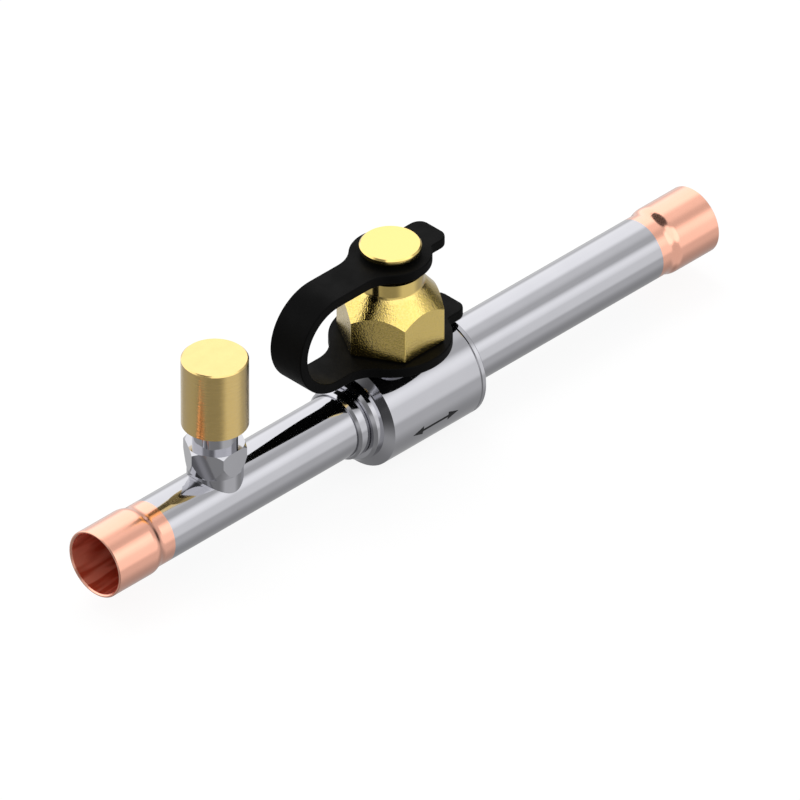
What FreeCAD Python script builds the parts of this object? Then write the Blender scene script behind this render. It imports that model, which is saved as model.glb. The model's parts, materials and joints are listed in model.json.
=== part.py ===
import FreeCAD, Part
import math
import os

from FreeCAD import Vector

# Refrigerant service valve: a quarter-turn ball valve in a line of steel tube with copper solder sockets,
# a capped stem and a capped access valve. Millimetres.
# The origin is the centre of the left socket's mouth, +X runs along the pipe and +Z up the stem.

# Places along the pipe
LEFT_MOUTH_TO_STEM = 99.9
STEM_TO_RIGHT_MOUTH = 103.8
LEFT_MOUTH_TO_ACCESS = 40.6

# Copper solder sockets and steel tubes
SOCKET_BORE = 15.9
SOCKET_WALL = 0.8
SOCKET_DEPTH = 12.6
SWAGE_LENGTH = 3.3
LEFT_SOCKET_TAIL = 3.3
RIGHT_SOCKET_TAIL = 2.7
MOUTH_CHAMFER = 0.2
MOUTH_BEVEL = 0.35
TUBE_OD = 16.2
TUBE_WALL = 0.8
BRAZE_GAP = 0.05

# Ball and chamber
BALL_D = 21.8
BALL_BORE = 14.2
BALL_BORE_CHAMFER = 0.3
CHAMBER_GAP = 0.35
SLOT_WIDTH = 5.0
SLOT_DEPTH = 2.95
TANG_FIT = 0.1

# Seats
SEAT_BACK = 10.8
SEAT_LENGTH = 4.6
SEAT_BORE = 14.8
SEAT_FIT = 0.05
BALL_CLEARANCE = 0.06
REBATE_LENGTH = 1.5
REBATE_DEPTH = 1.55
SEAT_RING_SECTION = 1.42

# Body, from the stem axis outwards
BARREL_WALL = 2.33
BARREL_LEFT = 11.9
BARREL_RIGHT = 17.7
BARREL_EDGE = 0.25
CONE_LENGTH = 1.1
MID_COLLAR_D = 21.7
MID_COLLAR_LENGTH = 2.75
MID_COLLAR_CHAMFER = 0.75
GROOVE_WIDTH = 0.25
GROOVE_DEPTH = 0.25
INLET_COLLAR_D = 18.1
INLET_COLLAR_LENGTH = 3.1
WELD_CHAMFER = 0.6
TUBE_SEAT_DEPTH = 6.1

# End closure
CLOSURE_NOSE_LENGTH = 2.4
CLOSURE_THREAD_D = 24.2
CLOSURE_THREAD_FIT = 0.05
CLOSURE_RING_LENGTH = 1.65
CLOSURE_RING_EDGE = 0.4
CLOSURE_HUB_D = 19.8
CLOSURE_HUB_LENGTH = 2.5
CLOSURE_TUBE_SEAT = 7.0
CLOSURE_RING_SECTION = 1.16
CLOSURE_RING_GROOVE = 1.4
CLOSURE_RING_GROOVE_DEPTH = 1.22
CLOSURE_GROOVE_FROM_NOSE = 0.5

# Stem and neck
STEM_D = 8.0
STEM_FIT = 0.06
STEM_COLLAR_D = 11.2
STEM_COLLAR_HEIGHT = 1.7
STEM_COLLAR_ABOVE_BALL = 0.4
TANG_LENGTH = 9.2
WASHER_THICKNESS = 0.8
FACE_GAP = 0.05
ROOF_THICKNESS = 1.25
BOSS_D = 16.8
NECK_FLANGE_D = 20.0
NECK_FLANGE_HEIGHT = 1.0
NECK_SHOULDER_D = 18.0
NECK_SHOULDER_HEIGHT = 2.7
NECK_THREAD_D = 18.0
NECK_THREAD_DEPTH = 0.5
NECK_LENGTH = 11.85
NECK_EDGE = 0.5
STEM_RING_SECTION = 1.06
STEM_RING_GROOVE = 1.3
LOWER_RING_ABOVE_ROOF = 2.0
RING_SPACING = 3.0
SQUARE_AF = 6.0
SQUARE_EDGE = 0.4
STEM_HEAD_ABOVE_RIM = 4.5

# Packing, gland nut and quarter-turn stop
GLAND_BORE = 13.2
GLAND_DEPTH = 5.5
PACKING_THICKNESS = 0.9
GLAND_HEIGHT = 3.1
GLAND_FIT = 0.05
SPANNER_HOLE_D = 1.5
SPANNER_HOLE_DEPTH = 1.6
SPANNER_HOLE_CIRCLE = 10.6
STOP_PLATE_D = 12.6
STOP_PLATE_THICKNESS = 1.2
STOP_PIN_D = 1.4
STOP_PIN_CIRCLE = 10.9
STOP_PIN_DEPTH = 1.6
STOP_PIN_SIDE = 225.0
STOP_NOTCH_INNER_D = 9.1
STOP_CLEARANCE = 0.05
QUARTER_TURN = 90.0
HALF_TURN = 180.0

# Rubber strap, one piece of even thickness
STRAP_THICKNESS = 2.6
STRAP_RING_D = 30.0
STRAP_FIT = 0.05
STRAP_BAND_WIDTH = 10.4
STRAP_BEND_X = 22.35
STRAP_EYE_D = 20.2
RING_FILLET = 9.0
EYE_FILLET = 9.0
RING_TAB_REACH = 21.2
RING_TAB_WIDTH = 8.4
EYE_TAB_REACH = 15.1
EYE_TAB_WIDTH = 7.9
TAB_CORNER = 1.0
TAB_FILLET = 1.5

# Seal cap
CAP_AF = 23.3
CAP_ABOVE_STRAP = 0.2
CAP_CORNER_HEIGHT = 9.25
CAP_CONE_ANGLE = 50.5
CAP_HEXAGON_ROUND = 0.35
CAP_THREAD_FIT = 0.05
CAP_NECK_D = 16.4
CAP_NECK_LENGTH = 3.6
CAP_NECK_FILLET = 1.2
CAP_SHOULDER_HEIGHT = 1.85
CAP_GROOVE_D = 10.4
CAP_GROOVE_SPARE = 1.3
EYE_ABOVE_GROOVE = 0.1
CAP_DISC_D = 15.1
CAP_DISC_THICKNESS = 1.4
CAP_DISC_EDGE = 0.4
CAP_GASKET_THICKNESS = 1.2
CAP_GASKET_BORE = 10.4
CAP_GASKET_FIT = 0.1
CAP_RECESS_D = 9.6
CAP_RECESS_SPARE = 1.0

# Access valve body
ACCESS_AF = 13.75
ACCESS_CORNER_D = 15.86
ACCESS_TAPER_BOTTOM = 8.9
ACCESS_TAPER_TOP = 12.7
ACCESS_HEX_TOP = 16.0
ACCESS_HEX_CHAMFER = 0.7
SPIGOT_D = 7.0
SPIGOT_FIT = 0.05
STUD_THREAD_D = 11.1
STUD_THREAD_DEPTH = 0.5
STUD_HEIGHT = 17.0
SHANK_HEIGHT = 3.6
STUD_NOSE = 1.7
STUD_NOSE_FLAT = 0.3
ACCESS_PASSAGE_D = 3.2
CORE_BORE = 5.3
CORE_BORE_DEPTH = 16.5

# Access valve core
CORE_FIT = 0.05
CORE_BELOW_NOSE = 3.0
CORE_LENGTH = 9.5
CORE_INNER_D = 3.4
CORE_FLOOR = 1.2
CORE_LID = 0.8
CORE_HOLE_D = 2.2
CORE_PIN_D = 1.5
CORE_PIN_ABOVE_LID = 1.6
PIN_COLLAR_D = 2.9
PIN_COLLAR_HEIGHT = 0.6
PIN_COLLAR_BELOW_LID = 0.4
PIN_HEAD_D = 4.0
PIN_HEAD_HEIGHT = 0.9
CORE_SEAL_THICKNESS = 1.2
SPRING_WIRE = 0.36
SPRING_MEAN_D = 2.45
SPRING_TURNS = 4

# Access cap
ACCESS_CAP_D = 16.4
ACCESS_CAP_ABOVE_HEX = 3.9
ACCESS_CAP_SKIRT = 1.6
ACCESS_CAP_SKIRT_D = 11.8
ACCESS_CAP_TOP = 40.3
ACCESS_CAP_EDGE = 0.35
ACCESS_CAP_THREAD_FIT = 0.05
ACCESS_GASKET_THICKNESS = 1.3
ACCESS_GASKET_BORE = 5.6
ACCESS_GASKET_FIT = 0.1

# Values worked out from the sizes above
STEM_X = LEFT_MOUTH_TO_STEM
RIGHT_MOUTH_X = LEFT_MOUTH_TO_STEM + STEM_TO_RIGHT_MOUTH
ACCESS_X = LEFT_MOUTH_TO_ACCESS
TUBE_R = TUBE_OD / 2
TUBE_INNER_R = TUBE_R - TUBE_WALL
SOCKET_INNER_R = SOCKET_BORE / 2
SOCKET_R = SOCKET_INNER_R + SOCKET_WALL
LEFT_SOCKET_LENGTH = SOCKET_DEPTH + SWAGE_LENGTH + LEFT_SOCKET_TAIL
RIGHT_SOCKET_LENGTH = SOCKET_DEPTH + SWAGE_LENGTH + RIGHT_SOCKET_TAIL
TUBE_SEAT_R = TUBE_R + BRAZE_GAP

BALL_R = BALL_D / 2
CHAMBER_R = BALL_R + CHAMBER_GAP
BARREL_R = CHAMBER_R + BARREL_WALL
SEAT_R = CHAMBER_R - SEAT_FIT
SEAT_FRONT = SEAT_BACK - SEAT_LENGTH

CONE_LEFT = BARREL_LEFT + CONE_LENGTH
MID_COLLAR_LEFT = CONE_LEFT + MID_COLLAR_LENGTH
GROOVE_LEFT = MID_COLLAR_LEFT + GROOVE_WIDTH
BODY_LEFT = GROOVE_LEFT + INLET_COLLAR_LENGTH
LEFT_TUBE_END_X = STEM_X - BODY_LEFT + TUBE_SEAT_DEPTH

CLOSURE_NOSE_END = SEAT_BACK + CLOSURE_NOSE_LENGTH
CLOSURE_THREAD_R = CLOSURE_THREAD_D / 2
CLOSURE_RING_END = BARREL_RIGHT + CLOSURE_RING_LENGTH
CLOSURE_RIGHT = CLOSURE_RING_END + CLOSURE_HUB_LENGTH
RIGHT_TUBE_START_X = STEM_X + CLOSURE_RIGHT - CLOSURE_TUBE_SEAT

STEM_R = STEM_D / 2
STEM_BORE_R = STEM_R + STEM_FIT
COLLAR_R = STEM_COLLAR_D / 2
COLLAR_BOTTOM = BALL_R + STEM_COLLAR_ABOVE_BALL
COLLAR_TOP = COLLAR_BOTTOM + STEM_COLLAR_HEIGHT
WASHER_BOTTOM = COLLAR_TOP + FACE_GAP
ROOF = WASHER_BOTTOM + WASHER_THICKNESS + FACE_GAP
BOSS_TOP = ROOF + ROOF_THICKNESS
RIM = BOSS_TOP + NECK_LENGTH
NECK_CORE_R = NECK_THREAD_D / 2 - NECK_THREAD_DEPTH
SLOT_FLOOR = BALL_R - SLOT_DEPTH
GLAND_BORE_R = GLAND_BORE / 2
PACKING_BOTTOM = RIM - GLAND_DEPTH
GLAND_BOTTOM = PACKING_BOTTOM + PACKING_THICKNESS
GLAND_TOP = GLAND_BOTTOM + GLAND_HEIGHT
STOP_BOTTOM = GLAND_TOP + FACE_GAP
STOP_TOP = STOP_BOTTOM + STOP_PLATE_THICKNESS
STEM_TOP = RIM + STEM_HEAD_ABOVE_RIM
LOWER_RING_Z = ROOF + LOWER_RING_ABOVE_ROOF
UPPER_RING_Z = LOWER_RING_Z + RING_SPACING

STRAP_RING_TOP = BOSS_TOP + STRAP_THICKNESS
CAP_BOTTOM = STRAP_RING_TOP + CAP_ABOVE_STRAP
CAP_CORNER_R = CAP_AF / math.sqrt(3)
CAP_CORNER_TOP = CAP_BOTTOM + CAP_CORNER_HEIGHT
CAP_NECK_R = CAP_NECK_D / 2
CAP_GROOVE_R = CAP_GROOVE_D / 2
CAP_DISC_R = CAP_DISC_D / 2
CAP_NECK_BOTTOM = CAP_CORNER_TOP + (CAP_CORNER_R - CAP_NECK_R) * math.tan(math.radians(CAP_CONE_ANGLE))
CAP_NECK_TOP = CAP_NECK_BOTTOM + CAP_NECK_LENGTH
CAP_GROOVE_BOTTOM = CAP_NECK_TOP + CAP_SHOULDER_HEIGHT
CAP_GROOVE_TOP = CAP_GROOVE_BOTTOM + STRAP_THICKNESS + CAP_GROOVE_SPARE
CAP_TOP = CAP_GROOVE_TOP + CAP_DISC_THICKNESS
CAP_BORE_R = NECK_THREAD_D / 2 + CAP_THREAD_FIT
CAP_CEILING = RIM + CAP_GASKET_THICKNESS
STRAP_EYE_BOTTOM = CAP_GROOVE_BOTTOM + EYE_ABOVE_GROOVE
STRAP_EYE_TOP = STRAP_EYE_BOTTOM + STRAP_THICKNESS

STUD_TOP = ACCESS_HEX_TOP + STUD_HEIGHT
STUD_CORE_R = STUD_THREAD_D / 2 - STUD_THREAD_DEPTH
CORE_BORE_R = CORE_BORE / 2
CORE_TOP = STUD_TOP - CORE_BELOW_NOSE
CORE_BOTTOM = CORE_TOP - CORE_LENGTH
PIN_HEAD_TOP = CORE_BOTTOM - CORE_SEAL_THICKNESS
PIN_R = CORE_PIN_D / 2
PIN_COLLAR_TOP = CORE_TOP - CORE_LID - PIN_COLLAR_BELOW_LID
PIN_COLLAR_BOTTOM = PIN_COLLAR_TOP - PIN_COLLAR_HEIGHT
SPRING_BOTTOM = CORE_BOTTOM + CORE_FLOOR
ACCESS_CAP_R = ACCESS_CAP_D / 2
ACCESS_CAP_BOTTOM = ACCESS_HEX_TOP + ACCESS_CAP_ABOVE_HEX
ACCESS_CAP_BORE_R = STUD_THREAD_D / 2 + ACCESS_CAP_THREAD_FIT
ACCESS_CEILING = STUD_TOP + ACCESS_GASKET_THICKNESS

X_AXIS = Vector(1, 0, 0)
Z_AXIS = Vector(0, 0, 1)
TOUCH = 0.001


# Shapes used by several pieces
def cylinder_x(radius, x_start, x_end):
    return Part.makeCylinder(radius, x_end - x_start, Vector(x_start, 0, 0), X_AXIS)


def cylinder_z(radius, z_start, z_end, x=0.0, y=0.0):
    return Part.makeCylinder(radius, z_end - z_start, Vector(x, y, z_start), Z_AXIS)


def turned_x(profile):
    """A solid turned about the pipe's axis from (x, radius) points."""
    points = [Vector(x, 0, radius) for x, radius in profile]
    face = Part.Face(Part.makePolygon(points + points[:1]))
    return face.revolve(Vector(0, 0, 0), X_AXIS, 360)


def turned_z(profile, x):
    """A solid turned about the vertical axis at x from (radius, z) points."""
    points = [Vector(x + radius, 0, z) for radius, z in profile]
    face = Part.Face(Part.makePolygon(points + points[:1]))
    return face.revolve(Vector(x, 0, 0), Z_AXIS, 360)


def ring_x(outer, inner, x_start, x_end):
    return cylinder_x(outer, x_start, x_end).cut(cylinder_x(inner, x_start, x_end))


def ring_z(outer, inner, z_start, z_end, x):
    return cylinder_z(outer, z_start, z_end, x).cut(cylinder_z(inner, z_start, z_end, x))


def cord_section(middle_r, middle, cord):
    """The (radius, place) corners of a cord pressed from four sides, which leaves it eight-sided."""
    half = cord / 2
    flat = half * math.tan(math.pi / 8)
    corners = []
    for quarter in range(4):
        angle = math.pi / 2 * quarter
        for across in (-flat, flat):
            radius = middle_r + half * math.cos(angle) - across * math.sin(angle)
            place = middle + half * math.sin(angle) + across * math.cos(angle)
            corners.append((radius, place))
    return corners


def hexagon(across_flats, z_start, z_end, x):
    """A hexagonal prism with two corners on the pipe's axis."""
    corner = across_flats / math.sqrt(3)
    points = []
    for step in range(6):
        angle = math.radians(60 * step)
        points.append(Vector(x + corner * math.cos(angle), corner * math.sin(angle), z_start))
    face = Part.Face(Part.makePolygon(points + points[:1]))
    return face.extrude(Vector(0, 0, z_end - z_start))


def swage_edges(x_from, x_to, radius_from, radius_to):
    """Two equal arcs that lead a tube smoothly from one radius to another, in the XZ plane."""
    length = x_to - x_from
    drop = radius_to - radius_from
    middle = Vector(x_from + length / 2, 0, radius_from + drop / 2)
    start = Vector(x_from, 0, radius_from)
    end = Vector(x_to, 0, radius_to)
    bend = ((length / 2) ** 2 + (drop / 2) ** 2) / abs(drop)
    half_angle = math.asin(abs(length / 2) / bend) / 2
    step_x = math.copysign(bend * math.sin(half_angle), length)
    step_r = math.copysign(bend * (1 - math.cos(half_angle)), drop)
    first = Part.Arc(start, start + Vector(step_x, 0, step_r), middle)
    second = Part.Arc(middle, end - Vector(step_x, 0, step_r), end)
    return [first.toShape(), second.toShape()]


# Tubes and sockets
def make_socket(mouth_x, inward, length):
    """A copper tube end, expanded to take a solder joint; inward is +1 or -1 along X."""
    swage = mouth_x + inward * SOCKET_DEPTH
    tail = swage + inward * SWAGE_LENGTH
    end = mouth_x + inward * length
    edge = mouth_x + inward * MOUTH_CHAMFER
    bevel = mouth_x + inward * MOUTH_BEVEL
    corners = [
        Vector(tail, 0, TUBE_R),
        Vector(end, 0, TUBE_R),
        Vector(end, 0, TUBE_INNER_R),
        Vector(tail, 0, TUBE_INNER_R),
    ]
    mouth = [
        Vector(swage, 0, SOCKET_INNER_R),
        Vector(bevel, 0, SOCKET_INNER_R),
        Vector(mouth_x, 0, SOCKET_INNER_R + MOUTH_BEVEL),
        Vector(mouth_x, 0, SOCKET_R - MOUTH_CHAMFER),
        Vector(edge, 0, SOCKET_R),
        Vector(swage, 0, SOCKET_R),
    ]
    edges = swage_edges(swage, tail, SOCKET_R, TUBE_R)
    edges += Part.makePolygon(corners).Edges
    edges += swage_edges(tail, swage, TUBE_INNER_R, SOCKET_INNER_R)
    edges += Part.makePolygon(mouth).Edges
    face = Part.Face(Part.Wire(Part.__sortEdges__(edges)))
    return face.revolve(Vector(0, 0, 0), X_AXIS, 360)


def make_left_tube():
    tube = ring_x(TUBE_R, TUBE_INNER_R, LEFT_SOCKET_LENGTH, LEFT_TUBE_END_X)
    spigot_hole = cylinder_z(SPIGOT_D / 2 + SPIGOT_FIT, 0, TUBE_OD, ACCESS_X)
    return tube.cut(spigot_hole)


def make_right_tube():
    return ring_x(TUBE_R, TUBE_INNER_R, RIGHT_TUBE_START_X, RIGHT_MOUTH_X - RIGHT_SOCKET_LENGTH)


# Body and closure
def make_valve_body():
    """One turned and milled piece: collars, cone, barrel, boss, flange and threaded neck."""
    profile = [
        (STEM_X - BODY_LEFT, 0),
        (STEM_X - BODY_LEFT, INLET_COLLAR_D / 2 - WELD_CHAMFER),
        (STEM_X - BODY_LEFT + WELD_CHAMFER, INLET_COLLAR_D / 2),
        (STEM_X - GROOVE_LEFT, INLET_COLLAR_D / 2),
        (STEM_X - GROOVE_LEFT, INLET_COLLAR_D / 2 - GROOVE_DEPTH),
        (STEM_X - MID_COLLAR_LEFT, INLET_COLLAR_D / 2 - GROOVE_DEPTH),
        (STEM_X - MID_COLLAR_LEFT, MID_COLLAR_D / 2 - MID_COLLAR_CHAMFER),
        (STEM_X - MID_COLLAR_LEFT + MID_COLLAR_CHAMFER, MID_COLLAR_D / 2),
        (STEM_X - CONE_LEFT, MID_COLLAR_D / 2),
        (STEM_X - BARREL_LEFT, BARREL_R),
        (STEM_X + BARREL_RIGHT - BARREL_EDGE, BARREL_R),
        (STEM_X + BARREL_RIGHT, BARREL_R - BARREL_EDGE),
        (STEM_X + BARREL_RIGHT, 0),
    ]
    neck = [
        (0, 0),
        (BOSS_D / 2, 0),
        (BOSS_D / 2, BOSS_TOP - NECK_FLANGE_HEIGHT),
        (NECK_FLANGE_D / 2, BOSS_TOP - NECK_FLANGE_HEIGHT),
        (NECK_FLANGE_D / 2, BOSS_TOP),
        (NECK_SHOULDER_D / 2, BOSS_TOP),
        (NECK_SHOULDER_D / 2, BOSS_TOP + NECK_SHOULDER_HEIGHT),
        (NECK_CORE_R, BOSS_TOP + NECK_SHOULDER_HEIGHT),
        (NECK_CORE_R, RIM - NECK_EDGE),
        (NECK_CORE_R - NECK_EDGE, RIM),
        (0, RIM),
    ]
    body = turned_x(profile).fuse(turned_z(neck, STEM_X))
    cuts = [
        cylinder_x(TUBE_SEAT_R, STEM_X - BODY_LEFT, LEFT_TUBE_END_X),
        cylinder_x(TUBE_INNER_R, STEM_X - BODY_LEFT, STEM_X),
        cylinder_x(CHAMBER_R, STEM_X - SEAT_BACK, STEM_X + BARREL_RIGHT),
        cylinder_x(CLOSURE_THREAD_R + CLOSURE_THREAD_FIT, STEM_X + CLOSURE_NOSE_END, STEM_X + BARREL_RIGHT),
        cylinder_z(COLLAR_R + CHAMBER_GAP, 0, ROOF, STEM_X),
        cylinder_z(STEM_BORE_R, 0, RIM, STEM_X),
        cylinder_z(GLAND_BORE_R, PACKING_BOTTOM, RIM, STEM_X),
    ]
    for tool in cuts:
        body = body.cut(tool)
    return body


def make_end_closure():
    """The screwed plug that holds the right seat, with its ring, hub and tube socket."""
    nose_r = CHAMBER_R - SEAT_FIT
    groove_start = STEM_X + SEAT_BACK + CLOSURE_GROOVE_FROM_NOSE
    groove_end = groove_start + CLOSURE_RING_GROOVE
    groove_r = nose_r - CLOSURE_RING_GROOVE_DEPTH
    profile = [
        (STEM_X + SEAT_BACK, TUBE_INNER_R),
        (STEM_X + SEAT_BACK, nose_r),
        (groove_start, nose_r),
        (groove_start, groove_r),
        (groove_end, groove_r),
        (groove_end, nose_r),
        (STEM_X + CLOSURE_NOSE_END, nose_r),
        (STEM_X + CLOSURE_NOSE_END, CLOSURE_THREAD_R),
        (STEM_X + BARREL_RIGHT, CLOSURE_THREAD_R),
        (STEM_X + BARREL_RIGHT, BARREL_R - BARREL_EDGE),
        (STEM_X + BARREL_RIGHT + BARREL_EDGE, BARREL_R),
        (STEM_X + CLOSURE_RING_END - CLOSURE_RING_EDGE, BARREL_R),
        (STEM_X + CLOSURE_RING_END, BARREL_R - CLOSURE_RING_EDGE),
        (STEM_X + CLOSURE_RING_END, CLOSURE_HUB_D / 2),
        (STEM_X + CLOSURE_RIGHT - WELD_CHAMFER, CLOSURE_HUB_D / 2),
        (STEM_X + CLOSURE_RIGHT, CLOSURE_HUB_D / 2 - WELD_CHAMFER),
        (STEM_X + CLOSURE_RIGHT, TUBE_SEAT_R),
        (RIGHT_TUBE_START_X, TUBE_SEAT_R),
        (RIGHT_TUBE_START_X, TUBE_INNER_R),
    ]
    return turned_x(profile)


def make_closure_o_ring():
    nose_r = CHAMBER_R - SEAT_FIT
    middle = STEM_X + SEAT_BACK + CLOSURE_GROOVE_FROM_NOSE + CLOSURE_RING_GROOVE / 2
    inside = nose_r - CLOSURE_RING_GROOVE_DEPTH
    section = cord_section((inside + CHAMBER_R) / 2, middle, CLOSURE_RING_SECTION)
    return turned_x([(x, radius) for radius, x in section])


# Ball and seats
def make_ball():
    ball = Part.makeSphere(BALL_R, Vector(STEM_X, 0, 0))
    bore_r = BALL_BORE / 2
    ball = ball.cut(cylinder_x(bore_r, STEM_X - BALL_R, STEM_X + BALL_R))
    bore_end = math.sqrt(BALL_R ** 2 - bore_r ** 2)
    flare = bore_r + BALL_BORE_CHAMFER
    for side in (-1, 1):
        mouth = [
            (STEM_X + side * (bore_end - BALL_BORE_CHAMFER), 0),
            (STEM_X + side * (bore_end - BALL_BORE_CHAMFER), bore_r),
            (STEM_X + side * bore_end, flare),
            (STEM_X + side * BALL_R, flare),
            (STEM_X + side * BALL_R, 0),
        ]
        ball = ball.cut(turned_x(mouth))
    corner = Vector(STEM_X - SLOT_WIDTH / 2, -BALL_R, SLOT_FLOOR)
    slot = Part.makeBox(SLOT_WIDTH, BALL_D, SLOT_DEPTH, corner)
    return ball.cut(slot)


def make_seat(side):
    """A PTFE ring with a hollow face for the ball and a step for its O-ring; side is +1 or -1."""
    step = SEAT_BACK - REBATE_LENGTH
    profile = [
        (STEM_X + side * SEAT_FRONT, SEAT_BORE / 2),
        (STEM_X + side * SEAT_FRONT, SEAT_R),
        (STEM_X + side * step, SEAT_R),
        (STEM_X + side * step, SEAT_R - REBATE_DEPTH),
        (STEM_X + side * SEAT_BACK, SEAT_R - REBATE_DEPTH),
        (STEM_X + side * SEAT_BACK, SEAT_BORE / 2),
    ]
    hollow = Part.makeSphere(BALL_R + BALL_CLEARANCE, Vector(STEM_X, 0, 0))
    return turned_x(profile).cut(hollow)


def make_seat_o_ring(side):
    middle = STEM_X + side * (SEAT_BACK - REBATE_LENGTH / 2)
    section = cord_section((SEAT_R - REBATE_DEPTH + CHAMBER_R) / 2, middle, SEAT_RING_SECTION)
    return turned_x([(x, radius) for radius, x in section])


# Stem and its seals
def make_stem():
    """Tang, collar, grooved shank and square head, turned and milled from one bar."""
    groove_r = STEM_R - STEM_RING_SECTION
    half_groove = STEM_RING_GROOVE / 2
    profile = [(0, COLLAR_BOTTOM), (COLLAR_R, COLLAR_BOTTOM), (COLLAR_R, COLLAR_TOP), (STEM_R, COLLAR_TOP)]
    for middle in (LOWER_RING_Z, UPPER_RING_Z):
        profile += [
            (STEM_R, middle - half_groove),
            (groove_r, middle - half_groove),
            (groove_r, middle + half_groove),
            (STEM_R, middle + half_groove),
        ]
    profile += [
        (STEM_R, STEM_TOP - SQUARE_EDGE),
        (STEM_R - SQUARE_EDGE, STEM_TOP),
        (0, STEM_TOP),
    ]
    stem = turned_z(profile, STEM_X)
    around = cylinder_z(STEM_D, GLAND_TOP, STEM_TOP, STEM_X)
    square = Part.makeBox(SQUARE_AF, SQUARE_AF, STEM_TOP - GLAND_TOP)
    square.translate(Vector(STEM_X - SQUARE_AF / 2, -SQUARE_AF / 2, GLAND_TOP))
    stem = stem.cut(around.cut(square))
    width = SLOT_WIDTH - 2 * TANG_FIT
    tang_bottom = SLOT_FLOOR + TANG_FIT
    corner = Vector(STEM_X - width / 2, -TANG_LENGTH / 2, tang_bottom)
    tang = Part.makeBox(width, TANG_LENGTH, COLLAR_BOTTOM - tang_bottom, corner)
    tang = tang.common(cylinder_z(COLLAR_R, tang_bottom, COLLAR_BOTTOM, STEM_X))
    return stem.fuse(tang).removeSplitter()


def make_stem_o_ring(height):
    groove_r = STEM_R - STEM_RING_SECTION
    return turned_z(cord_section((groove_r + STEM_BORE_R) / 2, height, STEM_RING_SECTION), STEM_X)


def make_thrust_washer():
    return ring_z(COLLAR_R, STEM_BORE_R, WASHER_BOTTOM, WASHER_BOTTOM + WASHER_THICKNESS, STEM_X)


def make_packing():
    return ring_z(GLAND_BORE_R - GLAND_FIT, STEM_BORE_R, PACKING_BOTTOM, GLAND_BOTTOM, STEM_X)


def make_gland_nut():
    """A round nut in the neck, with two spanner holes and a hole for the stop pin."""
    nut = ring_z(GLAND_BORE_R - GLAND_FIT, STEM_BORE_R, GLAND_BOTTOM, GLAND_TOP, STEM_X)
    for side in (-1, 1):
        angle = math.radians(STOP_PIN_SIDE + side * QUARTER_TURN)
        hole_x = STEM_X + SPANNER_HOLE_CIRCLE / 2 * math.cos(angle)
        hole_y = SPANNER_HOLE_CIRCLE / 2 * math.sin(angle)
        hole_bottom = GLAND_TOP - SPANNER_HOLE_DEPTH
        nut = nut.cut(cylinder_z(SPANNER_HOLE_D / 2, hole_bottom, GLAND_TOP, hole_x, hole_y))
    pin_x, pin_y = stop_pin_place()
    return nut.cut(cylinder_z(STOP_PIN_D / 2, GLAND_TOP - STOP_PIN_DEPTH, GLAND_TOP, pin_x, pin_y))


def stop_pin_place():
    angle = math.radians(STOP_PIN_SIDE)
    return STEM_X + STOP_PIN_CIRCLE / 2 * math.cos(angle), STOP_PIN_CIRCLE / 2 * math.sin(angle)


def make_stop_pin():
    pin_x, pin_y = stop_pin_place()
    return cylinder_z(STOP_PIN_D / 2, GLAND_TOP - STOP_PIN_DEPTH, STOP_TOP, pin_x, pin_y)


def make_stop_plate():
    """A plate keyed to the stem's square; its notch meets the pin after a quarter turn."""
    plate = cylinder_z(STOP_PLATE_D / 2, STOP_BOTTOM, STOP_TOP, STEM_X)
    hole_side = SQUARE_AF + 2 * STOP_CLEARANCE
    corner = Vector(STEM_X - hole_side / 2, -hole_side / 2, STOP_BOTTOM)
    hole = Part.makeBox(hole_side, hole_side, STOP_PLATE_THICKNESS, corner)
    hole = hole.common(cylinder_z(STEM_R + STOP_CLEARANCE, STOP_BOTTOM, STOP_TOP, STEM_X))
    play = math.degrees(math.asin((STOP_PIN_D / 2 + STOP_CLEARANCE) / (STOP_PIN_CIRCLE / 2)))
    sweep = QUARTER_TURN + 2 * play
    sector = Part.makeCylinder(
        STOP_PLATE_D, STOP_PLATE_THICKNESS, Vector(STEM_X, 0, STOP_BOTTOM), Z_AXIS, sweep
    )
    sector.rotate(Vector(STEM_X, 0, 0), Z_AXIS, STOP_PIN_SIDE - QUARTER_TURN - play)
    notch = sector.cut(cylinder_z(STOP_NOTCH_INNER_D / 2, STOP_BOTTOM, STOP_TOP, STEM_X))
    return plate.cut(hole).cut(notch)


# Seal cap and strap
def make_seal_cap():
    """Hexagon cap with a turned cone, neck, strap groove and mushroom disc."""
    profile = [
        (0, CAP_BOTTOM),
        (CAP_CORNER_R, CAP_BOTTOM),
        (CAP_CORNER_R, CAP_CORNER_TOP),
        (CAP_NECK_R, CAP_NECK_BOTTOM),
        (CAP_NECK_R, CAP_NECK_TOP),
        (CAP_GROOVE_R, CAP_GROOVE_BOTTOM),
        (CAP_GROOVE_R, CAP_GROOVE_TOP),
        (CAP_DISC_R, CAP_GROOVE_TOP),
        (CAP_DISC_R, CAP_TOP - CAP_DISC_EDGE),
        (CAP_DISC_R - CAP_DISC_EDGE, CAP_TOP),
        (0, CAP_TOP),
    ]
    prism = hexagon(CAP_AF, CAP_BOTTOM, CAP_TOP, STEM_X)
    outer_edges = [edge for edge in prism.Edges if edge.CenterOfMass.z < CAP_TOP - TOUCH]
    cap = turned_z(profile, STEM_X).common(prism.makeFillet(CAP_HEXAGON_ROUND, outer_edges))
    foot_of_neck = [edge for edge in cap.Edges if abs(edge.CenterOfMass.z - CAP_NECK_BOTTOM) < TOUCH]
    cap = cap.makeFillet(CAP_NECK_FILLET, foot_of_neck)
    cap = cap.cut(cylinder_z(CAP_BORE_R, CAP_BOTTOM, CAP_CEILING, STEM_X))
    recess = cylinder_z(CAP_RECESS_D / 2, CAP_CEILING, STEM_TOP + CAP_RECESS_SPARE, STEM_X)
    return cap.cut(recess)


def make_seal_cap_gasket():
    outer = CAP_BORE_R - CAP_GASKET_FIT
    return ring_z(outer, CAP_GASKET_BORE / 2, RIM, CAP_CEILING, STEM_X)


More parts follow.
